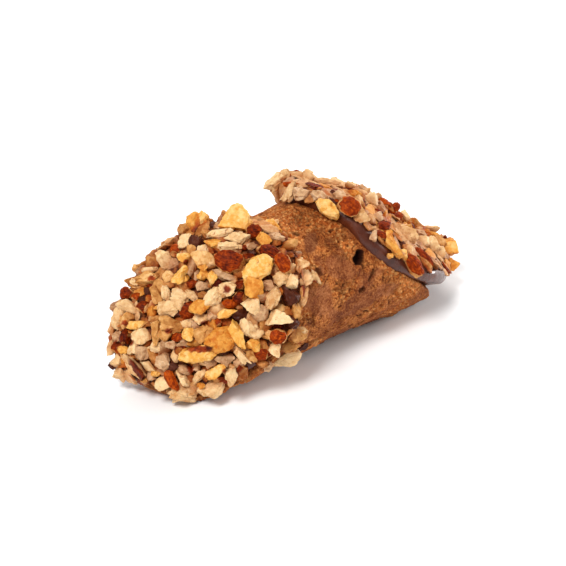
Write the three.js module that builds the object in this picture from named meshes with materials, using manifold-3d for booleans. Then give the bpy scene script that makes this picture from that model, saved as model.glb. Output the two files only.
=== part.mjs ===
// A filled cannolo. A disc of dough was wrapped round a tube and fried, so the shell
// is short at its seam and runs out into a long lip opposite, at both ends. Chocolate
// cream fills the tube and swells out of both slanted mouths, and chopped nuts stick
// to the cream there.
import * as THREE from 'three';
import { ConvexGeometry } from 'three/addons/geometries/ConvexGeometry.js';
import { mergeVertices } from 'three/addons/utils/BufferGeometryUtils.js';
import Module from 'manifold-3d';

const wasm = await Module();
wasm.setup();

// Driving dimensions: millimetres and radians. While it is modelled, the tube lies
// along X with its axis at Z = 0. An angle round the tube starts at the top and turns
// towards -Y.
const WAIST_RADIUS = 17.2;
const WAIST_X = -3.3;
const WALL = 2.6;
const RIM_ROUND = 0.3 * WALL; // how far in from the rim its outer edge is rounded
const FLOOR_Z = -17.7; // the undersides of both lips are flattened to this level
const GAP = 0.35; // between the shell and the cream

// Each mouth. Its rim runs from the seam to the lip's tip. Cream domes over it, hangs
// over its edge as a bead, and is tucked inside the lip round tuckTurn.
const MOUTHS = [
  {
    side: -1,
    seam: 9.4, // from the middle of the tube to the rim at the seam
    tip: 39.5, // and to the rim at the lip's tip
    roll: 0.6, // where the seam is
    curve: 1.25,
    flare: 0.18,
    flareEnd: 0,
    curl: 1.9, // how far the lip's tip turns up from the floor
    waves: [],
    dome: 3.2,
    rise: 1.4,
    tipRise: 0,
    bead: 1.7,
    swell: 1.2,
    swellTurn: 0.2,
    tuck: 3.3,
    tuckTurn: 3.2,
    bareTurn: 3.1,
    bareReach: 0.8,
    nutScale: 1,
  },
  {
    side: 1,
    seam: 9.4,
    tip: 48.6,
    roll: 0.22,
    curve: 1.1,
    flare: 0.26,
    flareEnd: 0.75,
    curl: 1,
    waves: [{ turn: 0.45, reach: 3.4, width: 14 }, { turn: 1.95, reach: 1.8, width: 24 }],
    dome: 3.8,
    rise: 1,
    tipRise: 8.6,
    bead: 2,
    swell: 2,
    swellTurn: -0.75,
    tuck: 1.5,
    tuckTurn: 3.36,
    bareTurn: 1.7,
    bareReach: 0.84,
    nutScale: 0.85,
  },
];
const FLARE_REACH = 48; // the radius grows by a mouth's flare this far from the waist
const CURL_LENGTH = 12; // of the stretch of a lip that turns up

// The fried surface: blisters stand up, pits sink in, and one bubble has burst.
const RELIEF_SEED = 41;
const BLISTERS = 110;
const BLISTER_RADIUS = [2.2, 5];
const BLISTER_HEIGHT = [-0.7, 0.7];
const BURST = { x: 21.5, turn: 0.95, radius: 2.4, depth: 1.2 };
const RELIEF_TOP = 0.4; // the cream is clear of blisters up to this high

// The chopped nuts. Each is an angular chip, pressed into the cream.
const NUT_SEED = 7;
const NUT_SIZES = [
  { length: 7.0, width: 5.2, height: 4.0, count: 8, spacing: 6.0 },
  { length: 5.4, width: 4.0, height: 3.6, count: 34, spacing: 4.1 },
  { length: 4.2, width: 3.3, height: 3.0, count: 54, spacing: 3.3 },
];
const NUT_TRIES = 1500;
const NUT_RISE = 0.25; // height of a nut's centre above the cream, as a share of its height
const NUT_TILT = 0.5;
const NUT_PINCH = [0.6, 1];
const TURN_STEP = 0.05; // to the points beside and beyond a nut, which give the way it faces
const REACH_STEP = 0.01;

// Mesh density.
const TURN_STEPS = 52;
const WALL_STEPS_OUTSIDE = 26;
const WALL_STEPS_INSIDE = 4;
const CREAM_TURN_STEPS = 32;
const DOME_STEPS = 4;
const BEAD_STEPS = 3;

function seededRandom(seed) {
  let state = seed * 7919;
  return () => {
    state = (state * 16807) % 2147483647;
    return state / 2147483647;
  };
}

function between(random, [low, high]) {
  return low + (high - low) * random();
}

// How near one turn is to another, from 1 down to 0. A larger width falls off sooner.
function nearness(turn, target, width) {
  return (0.5 * (1 + Math.cos(turn - target))) ** width;
}

// The shell's form.
function outerRadius(x) {
  const { flare, flareEnd } = MOUTHS[x < WAIST_X ? 0 : 1];
  const away = ((x - WAIST_X) / FLARE_REACH) ** 2;
  return WAIST_RADIUS * (1 + flare * away * (1 - flareEnd * away));
}

function rimX(mouth, turn) {
  const down = 0.5 * (1 - Math.cos(turn - mouth.roll));
  let reach = mouth.seam + (mouth.tip - mouth.seam) * down ** mouth.curve;
  for (const wave of mouth.waves) reach += wave.reach * nearness(turn, wave.turn, wave.width);
  return mouth.side * reach;
}

// The level that the underside of the tube is flattened to. A lip's tip turns up.
function undersideZ(x) {
  const { tip, curl } = MOUTHS[x < WAIST_X ? 0 : 1];
  const along = Math.max(0, Math.abs(x) - tip + CURL_LENGTH) / CURL_LENGTH;
  return FLOOR_Z + curl * along * along;
}

// A point of the tube. The wall bends up where it would pass through the floor.
function tubePoint(x, turn, radius) {
  const outer = outerRadius(x);
  const lift = Math.max(0, undersideZ(x) - outer * Math.cos(turn));
  const z = radius * Math.cos(turn) + lift * Math.min(radius / outer, 1);
  return new THREE.Vector3(x, -radius * Math.sin(turn), z);
}

const reliefRandom = seededRandom(RELIEF_SEED);
const blisters = Array.from({ length: BLISTERS }, () => ({
  x: between(reliefRandom, [-MOUTHS[0].tip, MOUTHS[1].tip]),
  turn: between(reliefRandom, [0, 2 * Math.PI]),
  radius: between(reliefRandom, BLISTER_RADIUS),
  height: between(reliefRandom, BLISTER_HEIGHT),
}));
blisters.push({ ...BURST, height: -BURST.depth });

function relief(x, turn) {
  let height = 0;
  for (const blister of blisters) {
    const round = Math.abs(turn - blister.turn);
    const arc = Math.min(round, 2 * Math.PI - round) * WAIST_RADIUS;
    const reach = Math.hypot(x - blister.x, arc) / blister.radius;
    if (reach < 1) height += blister.height * (1 - reach * reach) ** 2;
  }
  return height;
}

// Closes a stack of rings, all with the same number of points, into one body. With no
// ends given, the last ring joins the first one.
function closeRings(rings, startPoint, endPoint) {
  const size = rings[0].length;
  const points = rings.flat();
  const faces = [];
  const pairs = startPoint ? rings.length - 1 : rings.length;
  for (let ring = 0; ring < pairs; ring++) {
    const here = ring * size;
    const next = ((ring + 1) % rings.length) * size;
    for (let i = 0; i < size; i++) {
      const j = (i + 1) % size;
      faces.push(here + i, next + j, next + i);
      faces.push(here + i, here + j, next + j);
    }
  }
  if (startPoint) {
    const start = points.push(startPoint) - 1;
    const end = points.push(endPoint) - 1;
    const last = (rings.length - 1) * size;
    for (let i = 0; i < size; i++) {
      const j = (i + 1) % size;
      faces.push(start, j, i);
      faces.push(end, last + i, last + j);
    }
  }
  const geometry = new THREE.BufferGeometry().setFromPoints(points);
  geometry.setIndex(faces);
  return geometry;
}

function ring(steps, pointAt) {
  return Array.from({ length: steps }, (_, i) => pointAt((2 * Math.PI * i) / steps));
}

// The shell is one loop of rings: out along its outer wall, over the far rim, back
// along its inner wall and over the near rim. Grown by a gap, it is the room that the
// cream has to leave free.
function shellGeometry(grow = 0) {
  const [near, far] = MOUTHS;
  const along = (turn, share, pull) => {
    const low = rimX(near, turn) - grow + pull;
    const high = rimX(far, turn) + grow - pull;
    return low + (high - low) * share;
  };
  const rings = [];
  for (let step = 0; step <= WALL_STEPS_OUTSIDE; step++) {
    rings.push(ring(TURN_STEPS, (turn) => {
      const x = along(turn, step / WALL_STEPS_OUTSIDE, RIM_ROUND);
      const height = grow ? grow + RELIEF_TOP : relief(x, turn);
      const point = tubePoint(x, turn, outerRadius(x) + height);
      point.z = Math.max(point.z, undersideZ(x) - grow);
      return point;
    }));
  }
  const rimRing = (share, depth) => ring(TURN_STEPS, (turn) => {
    const x = along(turn, share, 0);
    return tubePoint(x, turn, outerRadius(x) - depth);
  });
  rings.push(rimRing(1, RIM_ROUND), rimRing(1, WALL - RIM_ROUND));
  for (let step = 0; step <= WALL_STEPS_INSIDE; step++) {
    rings.push(ring(TURN_STEPS, (turn) => {
      const x = along(turn, 1 - step / WALL_STEPS_INSIDE, RIM_ROUND);
      return tubePoint(x, turn, outerRadius(x) - WALL - grow);
    }));
  }
  rings.push(rimRing(0, WALL - RIM_ROUND), rimRing(0, RIM_ROUND));
  return closeRings(rings);
}

// The frame of a mouth: its centre, the way it faces, and its rim's middle line.
function addFace(mouth) {
  const middleOf = (turn) => {
    const x = rimX(mouth, turn);
    return tubePoint(x, turn, outerRadius(x) - 0.5 * WALL);
  };
  const seam = middleOf(mouth.roll);
  const tip = middleOf(mouth.roll + Math.PI);
  const across = new THREE.Vector3(0, Math.cos(mouth.roll), Math.sin(mouth.roll));
  mouth.middleOf = middleOf;
  mouth.centre = seam.clone().add(tip).multiplyScalar(0.5);
  mouth.facing = tip.clone().sub(seam).cross(across).normalize();
  mouth.facing.multiplyScalar(Math.sign(mouth.facing.x) * mouth.side);
}
MOUTHS.forEach(addFace);

// A point of the swelling cream: reach 0 is the middle of the mouth, DOME_REACH is over
// the rim, and 1 is the underside of the bead that hangs over the rim's outer edge. The
// bead is thickest over the seam, and it stays inside the shell at the lip's tip.
const DOME_REACH = 0.82;
const DOME_FULLNESS = 3;
const BEAD_UNDER = -1.1;
const SWELL_WIDTH = 2;
const BARE_WIDTH = 1;
const TIP_WIDTH = 3;
const TUCK_WIDTH = 12;
const CREAM_DEPTHS = [1.2, 5]; // inside the rim, the cream follows the shell's inner wall
const CREAM_CLEARANCE = 1.4 * GAP;

function creamPoint(mouth, turn, reach) {
  const spoke = mouth.middleOf(turn).sub(mouth.centre);
  const off = mouth.facing.clone().multiplyScalar(spoke.dot(mouth.facing));
  const flat = spoke.clone().sub(off);
  const outward = flat.clone().normalize();
  flat.addScaledVector(outward, -mouth.tuck * nearness(turn, mouth.tuckTurn, TUCK_WIDTH));
  const overhang = mouth.bead * (1 + mouth.swell * nearness(turn, mouth.swellTurn, SWELL_WIDTH));
  const rho = Math.min(reach / DOME_REACH, 1);
  const along = Math.max(0, reach - DOME_REACH) / (1 - DOME_REACH);
  const angle = Math.PI / 2 + (BEAD_UNDER - Math.PI / 2) * along;
  const tip = nearness(turn, mouth.roll + Math.PI, TIP_WIDTH);
  const rise = mouth.rise + mouth.tipRise * rho * rho * tip;
  const crown = mouth.dome * (1 - rho ** DOME_FULLNESS);
  const height = rise + 0.5 * (mouth.bead + overhang) * Math.sin(angle) + crown;
  return mouth.centre.clone()
    .addScaledVector(flat, rho)
    .addScaledVector(off, rho * rho)
    .addScaledVector(outward, overhang * Math.cos(angle))
    .addScaledVector(mouth.facing, height);
}

function creamGeometry() {
  const [near, far] = MOUTHS;
  const mouthRings = (mouth) => {
    const rings = [];
    for (let step = 1; step <= DOME_STEPS; step++) {
      const reach = (DOME_REACH * step) / DOME_STEPS;
      rings.push(ring(CREAM_TURN_STEPS, (turn) => creamPoint(mouth, turn, reach)));
    }
    for (let step = 1; step <= BEAD_STEPS; step++) {
      const reach = DOME_REACH + ((1 - DOME_REACH) * step) / BEAD_STEPS;
      rings.push(ring(CREAM_TURN_STEPS, (turn) => creamPoint(mouth, turn, reach)));
    }
    for (const depth of CREAM_DEPTHS) {
      rings.push(ring(CREAM_TURN_STEPS, (turn) => {
        const x = rimX(mouth, turn) - mouth.side * depth;
        return tubePoint(x, turn, outerRadius(x) - WALL - CREAM_CLEARANCE);
      }));
    }
    return rings;
  };
  const rings = [...mouthRings(near), ...mouthRings(far).reverse()];
  return closeRings(rings, creamPoint(near, 0, 0), creamPoint(far, 0, 0));
}

// One chip of nut: a block with one corner broken off and the others moved at random,
// so that no two are alike.
function nutGeometry(random, size, scale, point, facing) {
  const corners = [];
  for (const x of [-0.5, 0.5]) {
    for (const y of [-0.5, 0.5]) {
      for (const z of [-0.5, 0.5]) {
        const corner = new THREE.Vector3(
          x * size.length * between(random, NUT_PINCH),
          y * size.width * between(random, NUT_PINCH),
          z * size.height * between(random, NUT_PINCH),
        );
        corners.push(corner.multiplyScalar(scale));
      }
    }
  }
  corners.splice(Math.floor(corners.length * random()), 1);
  const upright = new THREE.Quaternion().setFromUnitVectors(new THREE.Vector3(0, 0, 1), facing);
  const spin = new THREE.Euler(
    between(random, [-NUT_TILT, NUT_TILT]),
    between(random, [-NUT_TILT, NUT_TILT]),
    between(random, [0, 2 * Math.PI]),
    'XYZ',
  );
  const turned = new THREE.Quaternion().setFromEuler(spin).premultiply(upright);
  const centre = point.clone().addScaledVector(facing, NUT_RISE * scale * size.height);
  for (const corner of corners) {
    corner.applyQuaternion(turned).add(centre);
  }
  return new ConvexGeometry(corners);
}

// Nuts are laid largest first, each clear of the last, until the cream is covered.
function nutGeometries(mouth, random) {
  const placed = [];
  const nuts = [];
  for (const size of NUT_SIZES) {
    let count = 0;
    for (let tries = 0; tries < NUT_TRIES && count < size.count; tries++) {
      const turn = between(random, [0, 2 * Math.PI]);
      const bare = nearness(turn, mouth.bareTurn, BARE_WIDTH);
      const reach = (1 + (mouth.bareReach - 1) * bare) * Math.sqrt(random());
      const point = creamPoint(mouth, turn, reach);
      const beside = creamPoint(mouth, turn + TURN_STEP, reach).sub(point);
      const beyond = creamPoint(mouth, turn, reach + REACH_STEP).sub(point);
      const facing = beside.cross(beyond).multiplyScalar(-mouth.side).normalize();
      const clear = placed.every((other) => (
        other.point.distanceTo(point) > 0.5 * (size.spacing + other.spacing)
      ));
      if (!clear || point.z < FLOOR_Z + 0.5 * size.length) continue;
      placed.push({ point, spacing: size.spacing });
      nuts.push(nutGeometry(random, size, mouth.nutScale, point, facing));
      count += 1;
    }
  }
  return nuts;
}

const MERGE_DISTANCE = 1e-5;
function toSolid(geometry) {
  const bare = geometry.clone();
  bare.deleteAttribute('normal');
  bare.deleteAttribute('uv');
  const merged = mergeVertices(bare, MERGE_DISTANCE);
  const mesh = new wasm.Mesh({
    numProp: 3,
    vertProperties: new Float32Array(merged.attributes.position.array),
    triVerts: new Uint32Array(merged.index.array),
  });
  return new wasm.Manifold(mesh);
}

function toGeometry(solid) {
  const { vertProperties, triVerts } = solid.getMesh();
  const geometry = new THREE.BufferGeometry();
  geometry.setAttribute('position', new THREE.BufferAttribute(vertProperties, 3));
  geometry.setIndex(new THREE.BufferAttribute(triVerts, 1));
  return geometry;
}

// The cream with its nuts: one body, clear of the shell and of the floor.
const GROUND_SIZE = 200;
const GROUND_CLEARANCE = 0.1;
function fillingGeometry() {
  const random = seededRandom(NUT_SEED);
  let filling = toSolid(creamGeometry());
  for (const mouth of MOUTHS) {
    for (const nut of nutGeometries(mouth, random)) filling = filling.add(toSolid(nut));
  }
  const clearance = toSolid(shellGeometry(GAP));
  const ground = new THREE.BoxGeometry(GROUND_SIZE, GROUND_SIZE, GROUND_SIZE)
    .translate(0, 0, FLOOR_Z + GROUND_CLEARANCE - 0.5 * GROUND_SIZE);
  const bodies = filling.subtract(clearance).subtract(toSolid(ground)).decompose();
  const largest = bodies.reduce((best, body) => (body.volume() > best.volume() ? body : best));
  return toGeometry(largest);
}

const shellMaterial = new THREE.MeshStandardMaterial({ color: 0x9a6238, roughness: 0.8, metalness: 0 });
const fillingMaterial = new THREE.MeshStandardMaterial({ color: 0xc89c66, roughness: 0.6, metalness: 0 });

const cannolo = new THREE.Group();
const shell = new THREE.Mesh(shellGeometry(), shellMaterial);
shell.name = 'shell';
const filling = new THREE.Mesh(fillingGeometry(), fillingMaterial);
filling.name = 'filling';
cannolo.add(shell, filling);

// The origin is the middle of the underside of the whole.
const box = new THREE.Box3().setFromObject(cannolo);
const middle = box.getCenter(new THREE.Vector3());
cannolo.position.set(-middle.x, -middle.y, -FLOOR_Z);

export default cannolo;
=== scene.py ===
import math

import bmesh
import bpy
import numpy as np
from mathutils import Matrix, Vector, noise
from mathutils.bvhtree import BVHTree


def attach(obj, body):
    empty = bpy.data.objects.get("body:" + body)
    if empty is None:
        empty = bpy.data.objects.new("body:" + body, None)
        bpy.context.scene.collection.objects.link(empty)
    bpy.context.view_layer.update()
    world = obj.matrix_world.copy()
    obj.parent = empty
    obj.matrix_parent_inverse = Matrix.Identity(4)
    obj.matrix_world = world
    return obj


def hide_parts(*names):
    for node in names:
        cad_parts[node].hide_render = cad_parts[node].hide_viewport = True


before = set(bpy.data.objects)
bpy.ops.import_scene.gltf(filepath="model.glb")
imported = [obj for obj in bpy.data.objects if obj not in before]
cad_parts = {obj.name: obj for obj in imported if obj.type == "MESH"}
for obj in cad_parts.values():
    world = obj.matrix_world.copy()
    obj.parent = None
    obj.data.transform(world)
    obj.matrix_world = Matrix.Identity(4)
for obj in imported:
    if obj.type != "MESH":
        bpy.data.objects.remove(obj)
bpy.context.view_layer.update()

# A filled cannolo. Its fried shell is shortest along its top, the seam, and runs out into
# a long lip below, at both ends. Chocolate cream swells out of both slanted mouths, and
# chopped nuts stick to it. Lengths are millimetres in the tube's own frame, angles are
# radians unless they are called degrees, and place() turns points into metres in the row frame.
TUBE_ORIGIN = np.array((-7.574, -1.9, 17.7))  # in the row frame
MM = 0.001

# The tube: X runs along it, its axis is at Z = 0, and an angle round it, a turn, starts
# at the top and goes towards -Y, the side that faces the camera.
WAIST_RADIUS = 17.2
WAIST_X = -3.3
FLARE_REACH = 48.0  # the radius grows by a mouth's flare this far from the waist
WALL = 2.6
RIM_ROUND = 0.3 * WALL  # how far in from the rim its edges are rounded
FLOOR_Z = -17.7  # the undersides of both lips are flattened to this level
CURL_LENGTH = 12.0  # of the stretch of a lip that turns up


class Mouth:
    """One end of the tube: how its rim runs, and how the cream swells out of it."""

    def __init__(self, **sizes):
        self.__dict__.update(sizes)
        self.tip_turn = self.roll + math.pi
        seam, tip = self.rim_middle(self.roll), self.rim_middle(self.tip_turn)
        across = np.array((0, math.cos(self.roll), math.sin(self.roll)))
        self.centre = (seam + tip) / 2
        facing = unit(np.cross(tip - seam, across))
        self.facing = facing * np.sign(facing[0]) * self.side

    def rim_x(self, turn):
        down = 0.5 * (1 - np.cos(turn - self.roll))
        reach = self.seam + (self.tip - self.seam) * down ** self.curve
        for wave_turn, wave_reach, wave_power in self.waves:
            reach = reach + wave_reach * nearness(turn, wave_turn, wave_power)
        return self.side * reach

    def rim_middle(self, turn):
        x = self.rim_x(turn)
        return tube_point(x, turn, outer_radius(x) - 0.5 * WALL)


def unit(vectors):
    vectors = np.asarray(vectors, float)
    return vectors / np.maximum(np.linalg.norm(vectors, axis=-1, keepdims=True), 1e-12)


def nearness(turn, target, power):
    """How near one turn is to another, from 1 down to 0. A higher power falls off sooner."""
    return (0.5 * (1 + np.cos(turn - target))) ** power


def outer_radius(x):
    near = x < WAIST_X
    away = ((x - WAIST_X) / FLARE_REACH) ** 2
    growth = np.where(near, NEAR_FLARE, FAR_FLARE) * (1 - np.where(near, 0, FAR_FLARE_END) * away)
    return WAIST_RADIUS * (1 + growth * away)


def underside_z(x):
    """The level that the underside is flattened to. A lip's tip turns up from it."""
    near = x < WAIST_X
    start = np.where(near, NEAR_TIP, FAR_TIP) - CURL_LENGTH
    along = np.maximum(0, np.abs(x) - start) / CURL_LENGTH
    return FLOOR_Z + np.where(near, NEAR_CURL, FAR_CURL) * along ** 2


def tube_point(x, turn, radius):
    """A point of the tube. The wall bends up where it would pass through the floor."""
    outer = outer_radius(x)
    lift = np.maximum(0, underside_z(x) - outer * np.cos(turn))
    z = radius * np.cos(turn) + lift * np.minimum(radius / outer, 1)
    return np.stack(np.broadcast_arrays(x, -radius * np.sin(turn), z), -1)


NEAR_FLARE, FAR_FLARE = 0.18, 0.26
FAR_FLARE_END = 0.75  # how far the flare of the far end falls off again
NEAR_CURL, FAR_CURL = 1.9, 1.0  # how far each lip's tip turns up from the floor
NEAR_TIP, FAR_TIP = 39.5, 48.6  # from the middle of the tube to the rim at each lip's tip

# A rim runs from the seam, at the turn roll, out to the lip's tip, with waves of a turn, a
# reach and a power. Its cream swells most round swell_turn and is drawn in round
# tuck_turn. Nuts go bare_reach of the way out at bare_turn and all the way opposite, and
# fill is the share of NUT_FILLS that the mouth gets.
NEAR = Mouth(side=-1, seam=9.4, tip=NEAR_TIP, roll=0.6, curve=1.25, waves=(),
             dome=3.2, rise=1.4, tip_rise=0, bead=1.7, swell=1.2, swell_turn=0.2,
             tuck=3.3, tuck_turn=2.9, tuck_power=4, bare_turn=3.1, bare_reach=0.88, fill=1)
FAR = Mouth(side=1, seam=9.4, tip=FAR_TIP, roll=0.22, curve=1.1,
            waves=((0.45, 3.4, 14), (1.95, 1.8, 24)),
            dome=3.8, rise=1, tip_rise=8.6, bead=2, swell=2, swell_turn=-0.75,
            tuck=1.5, tuck_turn=3.36, tuck_power=12, bare_turn=1.7, bare_reach=0.84, fill=0.75)

# The cream. Its reach goes from 0 in the middle of a mouth to 1 under its hanging bead.
DOME_REACH = 0.82  # where the dome ends and the bead starts
DOME_FULLNESS = 3
BEAD_UNDER = -1.1  # the angle at which the bead ends, from its widest
SWELL_POWER = 2
TIP_POWER = 3
BARE_POWER = 1
CREAM_CLEARANCE = 0.49  # inside the rim, from the shell's inner wall

# The camera, which stands where the photograph's did. Places that were read off the
# photograph are in its pixels, x from the left and y from the top.
IMAGE = 566  # pixels across and down
FOCAL_PIXELS = 1600
AZIMUTH, ELEVATION = math.radians(-43.7), math.radians(28)
DISTANCE = 384.0
TUBE_PIXEL = (282.03, 281.8)  # where the middle of the tube is in the picture
BACK = np.array((math.sin(AZIMUTH) * math.cos(ELEVATION),
                 -math.cos(AZIMUTH) * math.cos(ELEVATION), math.sin(ELEVATION)))
RIGHT = np.array((math.cos(AZIMUTH), math.sin(AZIMUTH), 0))
UP = np.cross(BACK, RIGHT)
PIXEL = DISTANCE / FOCAL_PIXELS  # millimetres at the middle of the tube
EYE = (BACK * DISTANCE + RIGHT * (IMAGE / 2 - TUBE_PIXEL[0]) * PIXEL
       + UP * (TUBE_PIXEL[1] - IMAGE / 2) * PIXEL)


def sight(x, y):
    """The unit direction from the camera through a pixel."""
    return unit(RIGHT * (x - IMAGE / 2) - UP * (y - IMAGE / 2) - BACK * FOCAL_PIXELS)


def pixels_of(points):
    """Where points show in the picture."""
    seen = points - EYE
    depth = -(seen @ BACK)
    return np.stack((IMAGE / 2 + FOCAL_PIXELS * (seen @ RIGHT) / depth,
                     IMAGE / 2 - FOCAL_PIXELS * (seen @ UP) / depth), -1)


def place(points):
    return (np.asarray(points) + TUBE_ORIGIN) * MM


def smooth(low, high, values):
    """A smooth step from 0 at low to 1 at high."""
    share = np.clip((values - low) / (high - low), 0, 1)
    return share * share * (3 - 2 * share)


def fractal(points, size, octaves=3, offset=0.0):
    """Smooth noise of about -1 to 1, whose largest waves are size across."""
    shift = Vector((offset, 2 * offset, 3 * offset))
    return np.array([noise.fractal(Vector(p) / size + shift, 1.0, 2.0, octaves) for p in points])


def cells(points, size):
    """Distances to the nearest and the second nearest of points scattered size apart, as
    a share of size, and a number from -1 to 1 that is the same all over each cell."""
    found = [noise.voronoi(Vector(p) / size) for p in points]
    distances = np.array([distance[:2] for distance, _ in found])
    shade = np.sin(40 * np.array([middle[0].dot((0.7, 1.3, 2.1)) for _, middle in found]))
    return distances[:, 0], distances[:, 1], shade


def spot(pixels, x, y, length, width, angle=0, edge=0.35, facing=1):
    """How far inside an oval of the picture points are, from 0 to 1. The angle is of its
    length, in degrees from the right, anticlockwise, and edge is how soft its outline is.
    Points where facing isn't above 0 look away from the camera."""
    off = pixels - (x, y)
    cos, sin = math.cos(math.radians(angle)), math.sin(math.radians(angle))
    along = (off[..., 0] * cos - off[..., 1] * sin) / (length / 2)
    across = (off[..., 0] * sin + off[..., 1] * cos) / (width / 2)
    return smooth(1 + edge, 1 - edge, np.hypot(along, across)) * (facing > 0)


# Meshes from rings of points.
def full_turn(steps):
    return np.linspace(0, 2 * math.pi, steps, endpoint=False)[None, :]


def ring_faces(rings, size, closed):
    """The faces between rings of size points. If closed, the last ring joins the first."""
    ring = np.arange(rings if closed else rings - 1)[:, None]
    here, after = ring * size, (ring + 1) % rings * size
    i = np.arange(size)[None, :]
    j = (i + 1) % size
    return np.stack((here + i, here + j, after + j, after + i), -1).reshape(-1, 4).tolist()


def new_object(name, data):
    item = bpy.data.objects.new(name, data)
    bpy.context.scene.collection.objects.link(item)
    return item


def new_piece(name, points, faces, material, attributes):
    """A smooth mesh object on the root body, from points in the tube's frame and numbers
    for each point that the material reads."""
    mesh = bpy.data.meshes.new(name)
    mesh.from_pydata(place(points), [], faces)
    for key, values in attributes.items():
        mesh.attributes.new(key, "FLOAT", "POINT").data.foreach_set("value", values.astype(np.float32))
    mesh.materials.append(material)
    mesh.shade_smooth()
    tidy = bmesh.new()
    tidy.from_mesh(mesh)
    if tidy.calc_volume(signed=True) < 0:
        bmesh.ops.reverse_faces(tidy, faces=tidy.faces)
    tidy.to_mesh(mesh)
    tidy.free()
    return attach(new_object(name, mesh), "root")


# Finishes. A colour is written as it shows, in sRGB bytes.
def paint(value):
    """What an input for colours takes: bytes become linear, and a level becomes a grey. A
    node's output stays as it is."""
    if isinstance(value, tuple):
        share = np.array(value) / 255
        linear = np.where(share > 0.04045, ((share + 0.055) / 1.055) ** 2.4, share / 12.92)
        return (*(float(v) for v in linear), 1.0)
    return value if isinstance(value, bpy.types.NodeSocket) else (value, value, value, 1.0)


# Of a mix node for colours: its factor and its two colours, and their mix.
MIX_INPUTS = (0, 6, 7)
MIX_OUTPUT = 2
WARP_SIZE = 1.2  # of the waves that warp granules, as a share of the granules' size


class Finish:
    """A material, with short ways to add the nodes that the finishes here are made of."""

    def __init__(self, name, **sockets):
        self.material = bpy.data.materials.new(name)
        self.material.use_nodes = True
        self.tree = self.material.node_tree
        self.shader = self.tree.nodes["Principled BSDF"]
        for key, value in sockets.items():
            self.set(key.replace("_", " "), value)
        self.place = self.add("ShaderNodeTexCoord", {}).outputs["Object"]

    def feed(self, socket, value):
        if isinstance(value, bpy.types.NodeSocket):
            self.tree.links.new(value, socket)
        else:
            socket.default_value = value

    def set(self, key, value):
        self.feed(self.shader.inputs[key], value)

    def add(self, kind, inputs, **settings):
        """A node whose inputs are fed by values or by other nodes."""
        node = self.tree.nodes.new(kind)
        for key, value in settings.items():
            setattr(node, key, value)
        for key, value in inputs.items():
            self.feed(node.inputs[key], value)
        return node

    def attribute(self, name):
        return self.add("ShaderNodeAttribute", {}, attribute_name=name).outputs["Fac"]

    def noise_node(self, size_mm, detail, roughness=0.5, distortion=0.0):
        return self.add("ShaderNodeTexNoise", {
            "Vector": self.place, "Scale": 1 / (size_mm * MM), "Detail": detail,
            "Roughness": roughness, "Distortion": distortion})

    def noise(self, *settings):
        return self.noise_node(*settings).outputs["Fac"]

    def granules(self, size_mm, warp_mm=0.0):
        """A shade that differs from granule to granule, and the distance from its middle.
        The warp makes their outlines ragged."""
        place = self.place
        if warp_mm:
            bend = self.noise_node(WARP_SIZE * size_mm, 4).outputs["Color"]
            place = self.add("ShaderNodeVectorMath", {0: bend, 1: (warp_mm * MM,) * 3, 2: place},
                             operation="MULTIPLY_ADD").outputs[0]
        node = self.add("ShaderNodeTexVoronoi", {"Vector": place, "Scale": 1 / (size_mm * MM)})
        split = self.add("ShaderNodeSeparateColor", {0: node.outputs["Color"]})
        return split.outputs[0], node.outputs["Distance"]

    def ramp(self, factor, *stops):
        """Colours or greys along a factor: each stop is a place and a colour or level."""
        node = self.add("ShaderNodeValToRGB", {"Fac": factor})
        elements = node.color_ramp.elements
        while len(elements) < len(stops):
            elements.new(0.5)
        for element, (position, shade) in zip(elements, stops):
            element.position = position
            element.color = paint(shade)
        return node.outputs["Color"]

    def mix(self, factor, first, second, blend="MIX"):
        inputs = dict(zip(MIX_INPUTS, (factor, paint(first), paint(second))))
        return self.add("ShaderNodeMix", inputs, data_type="RGBA", blend_type=blend).outputs[MIX_OUTPUT]

    def tint(self, base, tint):
        return self.mix(1.0, base, tint, "MULTIPLY")

    def sum(self, first, second, share):
        """The first and a share of the second."""
        inputs = {0: second, 1: share, 2: first}
        return self.add("ShaderNodeMath", inputs, operation="MULTIPLY_ADD").outputs[0]

    def bump(self, height, depth_mm, strength):
        inputs = {"Height": height, "Distance": depth_mm * MM, "Strength": strength}
        self.set("Normal", self.add("ShaderNodeBump", inputs).outputs["Normal"])


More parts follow.
